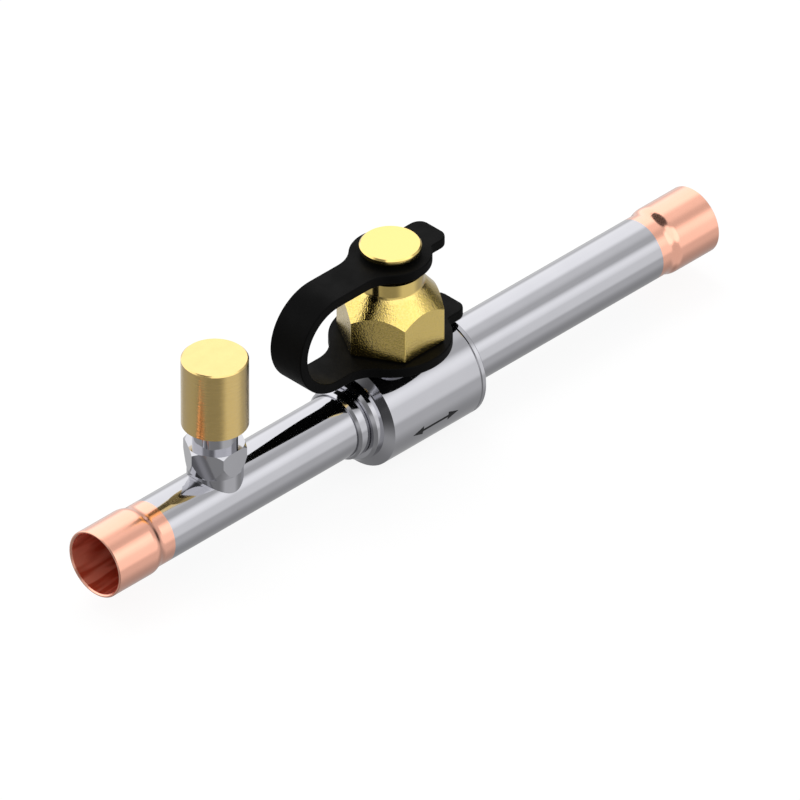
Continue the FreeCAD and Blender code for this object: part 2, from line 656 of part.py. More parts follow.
def fillet_points(disc_r, half_width, fillet):
    """Where a fillet leaves a disc, its middle, and where it meets an edge at half_width beside the disc."""
    along = math.sqrt((disc_r + fillet) ** 2 - (half_width + fillet) ** 2)
    centre = Vector(along, half_width + fillet, 0)
    to_disc = (centre * -1).normalize()
    to_edge = Vector(0, -1, 0)
    to_middle = (to_disc + to_edge).normalize()
    return [centre + direction * fillet for direction in (to_disc, to_middle, to_edge)]


def plate_with_band(disc_d, fillet, tab_reach, tab_width, hole_r, bottom):
    """A flat ring with a pull tab on one side and a tangent band on the other."""
    disc_r = disc_d / 2
    half_band = STRAP_BAND_WIDTH / 2
    half_tab = tab_width / 2
    band_fillet = fillet_points(disc_r, half_band, fillet)
    tab_fillet = fillet_points(disc_r, half_tab, TAB_FILLET)
    corner_in = tab_reach - TAB_CORNER
    corner_half = half_tab - TAB_CORNER
    corner_reach = TAB_CORNER * math.sqrt(0.5)
    edges = []
    for mirror in (1, -1):
        def at(x, y):
            return Vector(STEM_X + x, mirror * y, bottom)

        on_disc, middle, on_band = [at(-point.x, point.y) for point in band_fillet]
        tab_on_disc, tab_middle, on_tab = [at(point.x, point.y) for point in tab_fillet]
        corner_middle = at(corner_in + corner_reach, corner_half + corner_reach)
        edges += [
            Part.LineSegment(at(-STRAP_BEND_X, half_band), on_band).toShape(),
            Part.Arc(on_band, middle, on_disc).toShape(),
            Part.Arc(on_disc, at(0, disc_r), tab_on_disc).toShape(),
            Part.Arc(tab_on_disc, tab_middle, on_tab).toShape(),
            Part.LineSegment(on_tab, at(corner_in, half_tab)).toShape(),
            Part.Arc(at(corner_in, half_tab), corner_middle, at(tab_reach, corner_half)).toShape(),
        ]
    for x, half in ((tab_reach, corner_half), (-STRAP_BEND_X, half_band)):
        top = Vector(STEM_X + x, half, bottom)
        foot = Vector(STEM_X + x, -half, bottom)
        edges.append(Part.LineSegment(top, foot).toShape())
    face = Part.Face(Part.Wire(Part.__sortEdges__(edges)))
    plate = face.extrude(Vector(0, 0, STRAP_THICKNESS))
    return plate.cut(cylinder_z(hole_r, bottom, bottom + STRAP_THICKNESS, STEM_X))


def make_cap_strap():
    """Ring round the neck, half-round band and eye under the cap's disc, moulded in one."""
    bend_x = STEM_X - STRAP_BEND_X
    half_band = STRAP_BAND_WIDTH / 2
    section = Part.makePolygon([
        Vector(bend_x, -half_band, BOSS_TOP),
        Vector(bend_x, half_band, BOSS_TOP),
        Vector(bend_x, half_band, STRAP_RING_TOP),
        Vector(bend_x, -half_band, STRAP_RING_TOP),
        Vector(bend_x, -half_band, BOSS_TOP),
    ])
    bend_centre = Vector(bend_x, 0, (BOSS_TOP + STRAP_EYE_TOP) / 2)
    band = Part.Face(section).revolve(bend_centre, Vector(0, 1, 0), HALF_TURN)
    ring_hole = NECK_SHOULDER_D / 2 + STRAP_FIT
    eye_hole = CAP_GROOVE_R + STRAP_FIT
    ring = plate_with_band(STRAP_RING_D, RING_FILLET, RING_TAB_REACH, RING_TAB_WIDTH, ring_hole, BOSS_TOP)
    eye = plate_with_band(STRAP_EYE_D, EYE_FILLET, EYE_TAB_REACH, EYE_TAB_WIDTH, eye_hole, STRAP_EYE_BOTTOM)
    return band.fuse([ring, eye]).removeSplitter()


# Access valve
def make_access_valve_body():
    """Saddle base, hexagon, plain shank and flared stud, turned and milled from one bar."""
    corner_r = ACCESS_CORNER_D / 2
    flat_r = ACCESS_AF / 2
    hexagon_profile = [
        (0, ACCESS_TAPER_BOTTOM),
        (flat_r, ACCESS_TAPER_BOTTOM),
        (corner_r, ACCESS_TAPER_TOP),
        (corner_r, ACCESS_HEX_TOP - ACCESS_HEX_CHAMFER),
        (corner_r - ACCESS_HEX_CHAMFER, ACCESS_HEX_TOP),
        (0, ACCESS_HEX_TOP),
    ]
    hexed = turned_z(hexagon_profile, ACCESS_X)
    hexed = hexed.common(hexagon(ACCESS_AF, ACCESS_TAPER_BOTTOM, ACCESS_HEX_TOP, ACCESS_X))
    base = cylinder_z(flat_r, 0, ACCESS_TAPER_BOTTOM, ACCESS_X)
    base = base.cut(cylinder_x(TUBE_R + BRAZE_GAP, ACCESS_X - TUBE_OD, ACCESS_X + TUBE_OD))
    spigot = cylinder_z(SPIGOT_D / 2, 0, ACCESS_TAPER_BOTTOM, ACCESS_X)
    spigot = spigot.cut(cylinder_x(TUBE_INNER_R + BRAZE_GAP, ACCESS_X - TUBE_OD, ACCESS_X + TUBE_OD))
    stud_profile = [
        (0, ACCESS_HEX_TOP),
        (STUD_THREAD_D / 2, ACCESS_HEX_TOP),
        (STUD_THREAD_D / 2, ACCESS_HEX_TOP + SHANK_HEIGHT),
        (STUD_CORE_R, ACCESS_HEX_TOP + SHANK_HEIGHT),
        (STUD_CORE_R, STUD_TOP - STUD_NOSE_FLAT - STUD_NOSE),
        (STUD_CORE_R - STUD_NOSE, STUD_TOP - STUD_NOSE_FLAT),
        (STUD_CORE_R - STUD_NOSE, STUD_TOP),
        (0, STUD_TOP),
    ]
    body = hexed.fuse([base, spigot, turned_z(stud_profile, ACCESS_X)]).removeSplitter()
    body = body.cut(cylinder_z(ACCESS_PASSAGE_D / 2, 0, STUD_TOP, ACCESS_X))
    return body.cut(cylinder_z(CORE_BORE_R, STUD_TOP - CORE_BORE_DEPTH, STUD_TOP, ACCESS_X))


def make_access_core_body():
    outer = CORE_BORE_R - CORE_FIT
    core = cylinder_z(outer, CORE_BOTTOM, CORE_TOP, ACCESS_X)
    core = core.cut(cylinder_z(CORE_INNER_D / 2, CORE_BOTTOM + CORE_FLOOR, CORE_TOP - CORE_LID, ACCESS_X))
    return core.cut(cylinder_z(CORE_HOLE_D / 2, CORE_BOTTOM, CORE_TOP, ACCESS_X))


def make_access_core_pin():
    head_r = PIN_HEAD_D / 2
    collar_r = PIN_COLLAR_D / 2
    profile = [
        (0, PIN_HEAD_TOP - PIN_HEAD_HEIGHT),
        (head_r, PIN_HEAD_TOP - PIN_HEAD_HEIGHT),
        (head_r, PIN_HEAD_TOP),
        (PIN_R, PIN_HEAD_TOP),
        (PIN_R, PIN_COLLAR_BOTTOM),
        (collar_r, PIN_COLLAR_BOTTOM),
        (collar_r, PIN_COLLAR_TOP),
        (PIN_R, PIN_COLLAR_TOP),
        (PIN_R, CORE_TOP + CORE_PIN_ABOVE_LID),
        (0, CORE_TOP + CORE_PIN_ABOVE_LID),
    ]
    return turned_z(profile, ACCESS_X)


def make_access_core_seal():
    return ring_z(PIN_HEAD_D / 2, PIN_R, PIN_HEAD_TOP, CORE_BOTTOM, ACCESS_X)


def half_coil(start, end):
    """Half a turn of round wire about the access axis, from one point of the XZ plane to another."""
    centre = (start + end) * 0.5
    outward = (start - centre).normalize()
    heading = Vector(0, math.copysign(1, outward.x), 0)
    section = Part.Face(Part.Wire(Part.makeCircle(SPRING_WIRE / 2, start, heading)))
    return section.revolve(centre, outward.cross(heading), HALF_TURN)


def make_access_core_spring():
    """A coil between the core's floor and the pin's collar: rising half turns, and a flat one at each end."""
    low = SPRING_BOTTOM + FACE_GAP + SPRING_WIRE / 2
    high = PIN_COLLAR_BOTTOM - FACE_GAP - SPRING_WIRE / 2
    halves = 2 * SPRING_TURNS
    heights = [low] + [low + (high - low) * step / halves for step in range(halves + 1)] + [high]
    joints = []
    for step, height in enumerate(heights):
        side = 1 if step % 2 == 0 else -1
        joints.append(Vector(ACCESS_X + side * SPRING_MEAN_D / 2, 0, height))
    coils = [half_coil(start, end) for start, end in zip(joints, joints[1:])]
    return coils[0].fuse(coils[1:]).removeSplitter()


def make_access_cap():
    """A tall round brass cap with a coned foot and a threaded bore."""
    profile = [
        (0, ACCESS_CAP_BOTTOM),
        (ACCESS_CAP_SKIRT_D / 2, ACCESS_CAP_BOTTOM),
        (ACCESS_CAP_R, ACCESS_CAP_BOTTOM + ACCESS_CAP_SKIRT),
        (ACCESS_CAP_R, ACCESS_CAP_TOP - ACCESS_CAP_EDGE),
        (ACCESS_CAP_R - ACCESS_CAP_EDGE, ACCESS_CAP_TOP),
        (0, ACCESS_CAP_TOP),
    ]
    cap = turned_z(profile, ACCESS_X)
    return cap.cut(cylinder_z(ACCESS_CAP_BORE_R, ACCESS_CAP_BOTTOM, ACCESS_CEILING, ACCESS_X))


def make_access_cap_gasket():
    outer = ACCESS_CAP_BORE_R - ACCESS_GASKET_FIT
    return ring_z(outer, ACCESS_GASKET_BORE / 2, STUD_TOP, ACCESS_CEILING, ACCESS_X)


PIECES = {
    "left_socket": make_socket(0.0, 1, LEFT_SOCKET_LENGTH),
    "right_socket": make_socket(RIGHT_MOUTH_X, -1, RIGHT_SOCKET_LENGTH),
    "left_tube": make_left_tube(),
    "right_tube": make_right_tube(),
    "valve_body": make_valve_body(),
    "end_closure": make_end_closure(),
    "closure_o_ring": make_closure_o_ring(),
    "ball": make_ball(),
    "ball_seat_left": make_seat(-1),
    "ball_seat_right": make_seat(1),
    "seat_o_ring_left": make_seat_o_ring(-1),
    "seat_o_ring_right": make_seat_o_ring(1),
    "stem": make_stem(),
    "stem_o_ring_lower": make_stem_o_ring(LOWER_RING_Z),
    "stem_o_ring_upper": make_stem_o_ring(UPPER_RING_Z),
    "stem_thrust_washer": make_thrust_washer(),
    "stem_packing": make_packing(),
    "gland_nut": make_gland_nut(),
    "stop_pin": make_stop_pin(),
    "stop_plate": make_stop_plate(),
    "seal_cap": make_seal_cap(),
    "seal_cap_gasket": make_seal_cap_gasket(),
    "cap_strap": make_cap_strap(),
    "access_valve_body": make_access_valve_body(),
    "access_core_body": make_access_core_body(),
    "access_core_pin": make_access_core_pin(),
    "access_core_seal": make_access_core_seal(),
    "access_core_spring": make_access_core_spring(),
    "access_cap": make_access_cap(),
    "access_cap_gasket": make_access_cap_gasket(),
}

os.makedirs("parts", exist_ok=True)
for name, shape in PIECES.items():
    shape.exportStep(os.path.join("parts", name + ".step"))
    print(name, "solids", len(shape.Solids), "valid", shape.isValid(), "volume", round(shape.Volume, 2))
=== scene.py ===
import json
import math

import bpy
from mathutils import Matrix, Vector

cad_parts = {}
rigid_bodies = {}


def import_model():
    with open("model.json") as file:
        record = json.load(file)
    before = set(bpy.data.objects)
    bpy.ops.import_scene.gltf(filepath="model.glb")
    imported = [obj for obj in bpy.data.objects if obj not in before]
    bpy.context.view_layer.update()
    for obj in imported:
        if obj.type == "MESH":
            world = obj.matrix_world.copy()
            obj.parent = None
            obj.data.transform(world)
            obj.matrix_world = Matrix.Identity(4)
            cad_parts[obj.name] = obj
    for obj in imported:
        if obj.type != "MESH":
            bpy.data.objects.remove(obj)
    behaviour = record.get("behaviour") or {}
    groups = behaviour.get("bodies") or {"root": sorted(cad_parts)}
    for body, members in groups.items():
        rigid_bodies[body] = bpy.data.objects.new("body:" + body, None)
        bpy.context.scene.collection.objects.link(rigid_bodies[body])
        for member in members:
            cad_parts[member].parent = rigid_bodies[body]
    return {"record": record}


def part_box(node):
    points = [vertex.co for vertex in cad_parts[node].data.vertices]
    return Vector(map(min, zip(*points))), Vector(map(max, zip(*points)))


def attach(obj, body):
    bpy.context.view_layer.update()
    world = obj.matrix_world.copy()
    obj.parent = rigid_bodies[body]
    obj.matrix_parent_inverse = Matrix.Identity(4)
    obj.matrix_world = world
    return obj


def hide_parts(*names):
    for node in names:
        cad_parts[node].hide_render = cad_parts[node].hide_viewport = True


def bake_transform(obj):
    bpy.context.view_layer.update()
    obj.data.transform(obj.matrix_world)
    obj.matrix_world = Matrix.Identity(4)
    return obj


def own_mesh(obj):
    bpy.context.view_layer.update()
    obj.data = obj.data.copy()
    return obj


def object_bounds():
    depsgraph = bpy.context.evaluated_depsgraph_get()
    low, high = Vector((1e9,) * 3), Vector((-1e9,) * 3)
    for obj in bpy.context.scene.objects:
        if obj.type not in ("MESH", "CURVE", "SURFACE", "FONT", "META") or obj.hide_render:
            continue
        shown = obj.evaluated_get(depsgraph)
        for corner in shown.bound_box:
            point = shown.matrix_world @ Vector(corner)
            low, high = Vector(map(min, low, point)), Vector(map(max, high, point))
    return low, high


# Looks of the refrigerant service valve: materials for every piece, the rubber strap, the screw threads,
# the flow arrow, the studio light and the camera. Lengths are in metres unless a name says otherwise.
MM = 0.001

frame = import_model()
CAD_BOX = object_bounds()
SCENE = bpy.context.scene


def box(node):
    """Lowest and highest corner of a CAD piece at rest."""
    low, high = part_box(node)
    return Vector(low), Vector(high)


# Places taken from the frame
STRAP_LOW, STRAP_HIGH = box("cap_strap")
CAP_LOW, CAP_HIGH = box("seal_cap")
ACCESS_CAP_LOW, ACCESS_CAP_HIGH = box("access_cap")
STEM_X = (CAP_LOW.x + CAP_HIGH.x) / 2
ACCESS_X = (ACCESS_CAP_LOW.x + ACCESS_CAP_HIGH.x) / 2
BARREL_R = box("valve_body")[1].y
CAD_LOW = Vector(CAD_BOX[0])

# Rubber strap: a ring, a band bent round by half a turn, and an eye, each plate with a pull tab
STRAP_THICKNESS = 2.6 * MM
STRAP_EDGE = 0.35 * MM
STRAP_TIP_EDGE = 0.02 * MM
BAND_HALF = 5.2 * MM
BEND_X = 22.35 * MM
RING_R = 15.0 * MM
EYE_R = 10.1 * MM
BAND_FILLET = 9.0 * MM
TAB_HALF = 5.2 * MM
EYE_TAB_REACH = 15.0 * MM
TAB_CORNER = 3.0 * MM
TAB_FILLET = 1.5 * MM
RING_HOLE_R = 9.05 * MM
EYE_HOLE_R = 5.25 * MM
HOLE_SPARE = 1 * MM
FOOT = STRAP_LOW.z
TOP = STRAP_HIGH.z
# How many steps make each of its curves
BEND_STEPS = 48
DISC_STEPS = 40
BAND_FILLET_STEPS = 10
TAB_CORNER_STEPS = 6
TAB_FILLET_STEPS = 5
EDGE_STEPS = 4
HOLE_STEPS = 72
STRAP_SMOOTH_DEG = 50.0

# Coil spring under the valve core's pin: flat half turns at its ends and the turns that rise between them
SPRING_WIRE_R = 0.18 * MM
SPRING_TURNS = 4
SPRING_STEPS = 32
SPRING_SIDES = 10

# Screw threads: the ridges on the neck and the stud, and half a pitch higher those inside their caps
NECK_PITCH = 1.5 * MM
NECK_THREAD_R = 9.0 * MM
NECK_ROOT_R = 8.45 * MM
NECK_THREAD_LOW = 18.6 * MM
NECK_THREAD_HIGH = 26.4 * MM
STUD_PITCH = 1.27 * MM
STUD_THREAD_R = 5.55 * MM
STUD_ROOT_R = 5.0 * MM
STUD_THREAD_LOW = 20.2 * MM
STUD_THREAD_HIGH = 30.9 * MM
BORE_GAP = 0.05 * MM
THREAD_STEPS = 40
THREAD_SMOOTH_DEG = 50.0
# Half widths of a ridge, as parts of the pitch
RIDGE_FOOT = 0.44
RIDGE_CREST = 0.07

# The seal cap's blasted grain ends at the foot of its turned neck
GRAIN_TOP = 34.0 * MM
GRAIN_FADE = 1.5 * MM

# Between the copper sockets' inner and outer walls
SOCKET_INSIDE_R = 8.02 * MM

# Flow arrow printed on the barrel
ARROW_LEFT = -5.5 * MM
ARROW_RIGHT = 9.9 * MM
ARROW_TURN_DEG = 13.0
ARROW_HEAD_LENGTH = 3.5 * MM
ARROW_HEAD_HALF = 1.35 * MM
ARROW_LINE_HALF = 0.36 * MM
ARROW_LIFT = 0.015 * MM
ARROW_ROWS = 8

# Camera: a long lens, because the photograph shows no perspective
LENS_MM = 1600.0
SENSOR_MM = 36.0
FRAME_WIDTH = 192.3 * MM
AIM_RIGHT = 2.29 * MM
AIM_DOWN = 1.47 * MM

# Floor: what it gives back of the light, so that it shows a shadow, and its own glow, which makes it white
FLOOR_GAP = 0.02 * MM
FLOOR_REACH = 1.6
FLOOR_SHADE = 0.15
FLOOR_GLOW = 0.885

# Key light, in metres and watts, its place counted from the stem's axis
KEY_SIZE = 0.5
KEY_POWER = 2.0
KEY_PLACE = (0.1, 0.35, 0.8)

# Clear film over bright metal
FILM_ROUGHNESS = 0.2
FILM_IOR = 1.7


def add_node(tree, kind, **settings):
    """A shader node with its properties set by name."""
    node = tree.nodes.new(kind)
    for name, value in settings.items():
        setattr(node, name, value)
    return node


def material(name, color, metallic, roughness, specular=0.5):
    """A material with its shader, ready for procedural detail."""
    made = bpy.data.materials.new(name)
    made.use_nodes = True
    shader = made.node_tree.nodes["Principled BSDF"]
    shader.inputs["Base Color"].default_value = (*color, 1.0)
    shader.inputs["Metallic"].default_value = metallic
    shader.inputs["Roughness"].default_value = roughness
    shader.inputs["Specular IOR Level"].default_value = specular
    made.diffuse_color = (*color, 1.0)
    return made, made.node_tree, shader


def stretched_noise(tree, scale_per_mm, stretch=(1.0, 1.0, 1.0), detail=3.0):
    """Noise in the object's own space, its scale in cells per millimetre along each axis."""
    place = add_node(tree, "ShaderNodeTexCoord")
    mapping = add_node(tree, "ShaderNodeMapping")
    mapping.inputs["Scale"].default_value = [scale_per_mm / MM * factor for factor in stretch]
    noise = add_node(tree, "ShaderNodeTexNoise")
    noise.inputs["Scale"].default_value = 1.0
    noise.inputs["Detail"].default_value = detail
    tree.links.new(place.outputs["Object"], mapping.inputs["Vector"])
    tree.links.new(mapping.outputs["Vector"], noise.inputs["Vector"])
    return noise.outputs["Fac"]


def remap(tree, value, low, high, start=0.3, end=0.7):
    """A value from noise, spread from low to high."""
    ramp = add_node(tree, "ShaderNodeMapRange")
    ramp.inputs["From Min"].default_value = start
    ramp.inputs["From Max"].default_value = end
    ramp.inputs["To Min"].default_value = low
    ramp.inputs["To Max"].default_value = high
    tree.links.new(value, ramp.inputs["Value"])
    return ramp.outputs["Result"]


def mix_colors(tree, factor, first, second):
    """Two colours, or the outputs of two nodes, mixed by a factor from another node."""
    mix = add_node(tree, "ShaderNodeMix", data_type="RGBA")
    color_sockets = [socket for socket in mix.inputs if socket.type == "RGBA"]
    for socket, color in zip(color_sockets, (first, second)):
        if isinstance(color, tuple):
            socket.default_value = (*color, 1.0)
        else:
            tree.links.new(color, socket)
    tree.links.new(factor, mix.inputs["Factor"])
    return next(socket for socket in mix.outputs if socket.type == "RGBA")


def bump(tree, shader, height, depth):
    """Relief of a given depth in metres."""
    relief = add_node(tree, "ShaderNodeBump")
    relief.inputs["Strength"].default_value = 1.0
    relief.inputs["Distance"].default_value = depth
    tree.links.new(height, relief.inputs["Height"])
    tree.links.new(relief.outputs["Normal"], shader.inputs["Normal"])


def clear_film(shader, weight):
    """The thin clear film of bright metal, which pales it where it is seen at a low angle."""
    shader.inputs["Coat Weight"].default_value = weight
    shader.inputs["Coat Roughness"].default_value = FILM_ROUGHNESS
    shader.inputs["Coat IOR"].default_value = FILM_IOR


def below_height(tree, height, fade):
    """1 well below a height in the object's own space, 0 above it."""
    place = add_node(tree, "ShaderNodeTexCoord")
    parts = add_node(tree, "ShaderNodeSeparateXYZ")
    tree.links.new(place.outputs["Object"], parts.inputs["Vector"])
    return remap(tree, parts.outputs["Z"], 1.0, 0.0, height - fade, height)


def plated_steel():
    """Bright zinc plate over drawn and turned steel: smooth, with faint lengthwise streaks."""
    made, tree, shader = material("plated steel", (0.49, 0.49, 0.52), 1.0, 0.06)
    streaks = stretched_noise(tree, 2.5, (0.02, 1.0, 1.0))
    tree.links.new(remap(tree, streaks, 0.045, 0.09), shader.inputs["Roughness"])
    tint = mix_colors(tree, stretched_noise(tree, 0.12), (0.47, 0.47, 0.50), (0.51, 0.51, 0.54))
    tree.links.new(tint, shader.inputs["Base Color"])
    bump(tree, shader, streaks, 0.0001 * MM)
    return made


def turned_steel():
    """Plain turned steel of the hidden and seldom seen pieces, with fine feed marks."""
    made, tree, shader = material("turned steel", (0.55, 0.55, 0.56), 1.0, 0.25)
    marks = stretched_noise(tree, 6.0, (0.1, 0.1, 1.0))
    tree.links.new(remap(tree, marks, 0.2, 0.32), shader.inputs["Roughness"])
    bump(tree, shader, marks, 0.002 * MM)
    return made


def chrome():
    """Polished chrome of the ball, with the faintest haze."""
    made, tree, shader = material("ball chrome", (0.78, 0.78, 0.80), 1.0, 0.06)
    tree.links.new(remap(tree, stretched_noise(tree, 0.4), 0.04, 0.09), shader.inputs["Roughness"])
    return made


def inside_tube(tree):
    """1 on the tube's inner wall and 0 on its outer one, by the distance from the pipe's axis."""
    place = add_node(tree, "ShaderNodeTexCoord")
    flattened = add_node(tree, "ShaderNodeVectorMath", operation="MULTIPLY")
    flattened.inputs[1].default_value = (0.0, 1.0, 1.0)
    distance = add_node(tree, "ShaderNodeVectorMath", operation="LENGTH")
    inside = add_node(tree, "ShaderNodeMath", operation="LESS_THAN")
    inside.inputs[1].default_value = SOCKET_INSIDE_R
    tree.links.new(place.outputs["Object"], flattened.inputs[0])
    tree.links.new(flattened.outputs["Vector"], distance.inputs[0])
    tree.links.new(distance.outputs["Value"], inside.inputs[0])
    return inside.outputs["Value"]


def copper():
    """Drawn copper: satin outside with lengthwise streaks, dull and red-brown inside, where darker and
    lighter streaks along the bore are painted reflections.
    """
    made, tree, shader = material("drawn copper", (0.98, 0.48, 0.34), 1.0, 0.16)
    streaks = stretched_noise(tree, 2.2, (0.03, 1.0, 1.0))
    patches = stretched_noise(tree, 0.15)
    inside = inside_tube(tree)
    bright = mix_colors(tree, patches, (0.96, 0.46, 0.32), (1.0, 0.50, 0.36))
    # Painted reflections: darker and lighter streaks along the bore's wall stand in for the streaky mirror
    # images that the bore shows.
    painted_reflection_streaks = remap(tree, stretched_noise(tree, 0.45, (0.12, 1.0, 1.0), detail=1.0), 0.0, 1.0, 0.42, 0.56)
    dull = mix_colors(tree, painted_reflection_streaks, (0.66, 0.09, 0.04), (1.0, 0.31, 0.20))
    tree.links.new(mix_colors(tree, inside, bright, dull), shader.inputs["Base Color"])
    haze = add_node(tree, "ShaderNodeMath", operation="MULTIPLY_ADD")
    tree.links.new(inside, haze.inputs[0])
    haze.inputs[1].default_value = 0.15
    tree.links.new(remap(tree, streaks, 0.13, 0.19), haze.inputs[2])
    tree.links.new(haze.outputs["Value"], shader.inputs["Roughness"])
    tree.links.new(remap(tree, inside, 1.0, 0.35, 0.0, 1.0), shader.inputs["Metallic"])
    bump(tree, shader, streaks, 0.0008 * MM)
    clear_film(shader, 0.6)
    return made


def blasted_brass():
    """Forged brass with a fine blasted grain."""
    made, tree, shader = material("blasted brass", (0.80, 0.57, 0.20), 1.0, 0.16)
    grain = add_node(tree, "ShaderNodeMath", operation="MULTIPLY")
    tree.links.new(stretched_noise(tree, 2.4, detail=2.0), grain.inputs[0])
    tree.links.new(below_height(tree, GRAIN_TOP, GRAIN_FADE), grain.inputs[1])
    tree.links.new(remap(tree, grain.outputs["Value"], 0.13, 0.2), shader.inputs["Roughness"])
    speckle = remap(tree, grain.outputs["Value"], 0.0, 1.0, 0.35, 0.65)
    tint = mix_colors(tree, speckle, (0.83, 0.61, 0.18), (0.74, 0.55, 0.12))
    tree.links.new(tint, shader.inputs["Base Color"])
    bump(tree, shader, grain.outputs["Value"], 0.095 * MM)
    clear_film(shader, 0.6)
    return made


def turned_brass():
    """Satin brass turned in a lathe: fine rings of feed marks round the cap."""
    made, tree, shader = material("turned brass", (0.80, 0.57, 0.20), 1.0, 0.18)
    marks = stretched_noise(tree, 3.0, (0.12, 0.12, 1.0))
    tree.links.new(remap(tree, marks, 0.15, 0.22), shader.inputs["Roughness"])
    tint = mix_colors(tree, marks, (0.74, 0.52, 0.17), (0.86, 0.62, 0.22))
    tree.links.new(tint, shader.inputs["Base Color"])
    bump(tree, shader, marks, 0.06 * MM)
    clear_film(shader, 0.7)
    return made


def moulded_rubber():
    """Matt black moulded rubber with a faint uneven sheen."""
    made, tree, shader = material("moulded rubber", (0.003, 0.003, 0.003), 0.0, 0.55, 0.05)
    skin = stretched_noise(tree, 3.0)
    tree.links.new(remap(tree, stretched_noise(tree, 0.2), 0.45, 0.6), shader.inputs["Roughness"])
    bump(tree, shader, skin, 0.004 * MM)
    return made


def seal_rubber():
    """Black nitrile of the hidden seals."""
    made, tree, shader = material("seal rubber", (0.02, 0.02, 0.02), 0.0, 0.4)
    bump(tree, shader, stretched_noise(tree, 4.0), 0.004 * MM)
    return made


def white_ptfe():
    """Waxy white PTFE with faint turning marks."""
    made, tree, shader = material("white ptfe", (0.86, 0.86, 0.83), 0.0, 0.35)
    tree.links.new(remap(tree, stretched_noise(tree, 2.0), 0.3, 0.42), shader.inputs["Roughness"])
    bump(tree, shader, stretched_noise(tree, 3.0), 0.003 * MM)
    return made


def printing_ink():
    """Black ink printed on the barrel."""
    made, tree, shader = material("black ink", (0.012, 0.012, 0.014), 0.0, 0.4, 0.15)
    tree.links.new(remap(tree, stretched_noise(tree, 3.0), 0.35, 0.5), shader.inputs["Roughness"])
    return made


MATERIALS = {
    "copper": copper(),
    "steel": plated_steel(),
    "plain_steel": turned_steel(),
    "chromed_ball": chrome(),
    "blasted_brass": blasted_brass(),
    "turned_brass": turned_brass(),
    "black_rubber": moulded_rubber(),
    "seal_rubber": seal_rubber(),
    "ptfe": white_ptfe(),
}


def dress_cad_pieces():
    """Give every CAD piece the material of its slot."""
    for row in frame["record"]["subparts"]:
        piece = bpy.data.objects[row["node"]]
        piece.data.materials.clear()
        piece.data.materials.append(MATERIALS[row["material_slot"]])


def mesh_piece(name, vertices, faces, skin, body=None, smooth_deg=40.0):
    """A mesh made by this script, smooth where its faces meet at less than smooth_deg."""
    mesh = bpy.data.meshes.new(name)
    mesh.from_pydata(vertices, [], faces)
    mesh.validate()
    piece = bpy.data.objects.new(name, mesh)
    SCENE.collection.objects.link(piece)
    mesh.materials.append(skin)
    mesh.shade_smooth()
    mesh.set_sharp_from_angle(angle=math.radians(smooth_deg))
    if body:
        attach(piece, body)
    return piece


def loft_faces(loops, size, closed_ends=True):
    """Faces that join equal loops of vertices one after another."""
    faces = []
    for row in range(loops - 1):
        for column in range(size):
            follower = (column + 1) % size
            here = row * size
            above = here + size
            faces.append((here + column, here + follower, above + follower, above + column))
    if closed_ends:
        faces.append(tuple(range(size - 1, -1, -1)))
        faces.append(tuple(range((loops - 1) * size, loops * size)))
    return faces


def arc(center, radius, start_deg, end_deg, steps):
    """Points on a circle, as (x, y)."""
    x, y = center
    angles = [math.radians(start_deg + (end_deg - start_deg) * step / steps) for step in range(steps + 1)]
    return [(x + radius * math.cos(angle), y + radius * math.sin(angle)) for angle in angles]


def half_outline(disc_r, tab_reach):
    """A strap plate from its tab's tip to its band, as (distance along it from the disc, half width)."""
    corner = (tab_reach - TAB_CORNER, TAB_HALF - TAB_CORNER)
    points = arc(corner, TAB_CORNER, 0, 90, TAB_CORNER_STEPS)
    tab_y = TAB_HALF + TAB_FILLET
    tab_x = math.sqrt((disc_r + TAB_FILLET) ** 2 - tab_y ** 2)
    tab_turn = math.degrees(math.atan2(tab_y, tab_x))
    points += arc((tab_x, tab_y), TAB_FILLET, 270, 180 + tab_turn, TAB_FILLET_STEPS)
    band_y = BAND_HALF + BAND_FILLET
    band_x = math.sqrt((disc_r + BAND_FILLET) ** 2 - band_y ** 2)
    band_turn = math.degrees(math.atan2(band_y, -band_x))
    points += arc((0.0, 0.0), disc_r, tab_turn, band_turn, DISC_STEPS)[1:]
    points += arc((-band_x, band_y), BAND_FILLET, band_turn - 180, -90, BAND_FILLET_STEPS)[1:]
    points.append((-BEND_X, BAND_HALF))
    return points


def strap_stations():
    """Places along the strap from tab to tab, as (point on its outer face, inward direction, half width)."""
    down = Vector((0.0, -1.0))
    up = Vector((0.0, 1.0))
    eye = half_outline(EYE_R, EYE_TAB_REACH)
    ring = half_outline(RING_R, STRAP_HIGH.x - STEM_X)
    stations = [(Vector((STEM_X + along, TOP)), down, half) for along, half in eye]
    bend = Vector((STEM_X - BEND_X, (FOOT + TOP) / 2))
    for place in arc(bend, (TOP - FOOT) / 2, 90, 270, BEND_STEPS)[1:-1]:
        stations.append((Vector(place), (bend - Vector(place)).normalized(), BAND_HALF))
    stations += [(Vector((STEM_X + along, FOOT)), up, half) for along, half in reversed(ring)]
    return stations


def strap_section(half, inset):
    """The strap's rounded section as (across, depth below the outer face), drawn in by inset near a tip."""
    radius = max(STRAP_EDGE - inset, STRAP_TIP_EDGE)
    across = half - inset - radius
    outer = inset + radius
    inner = STRAP_THICKNESS - outer
    corners = [(across, outer), (across, inner), (-across, inner), (-across, outer)]
    section = []
    for index, corner in enumerate(corners):
        section += arc(corner, radius, 90 * index - 90, 90 * index, EDGE_STEPS)
    return section


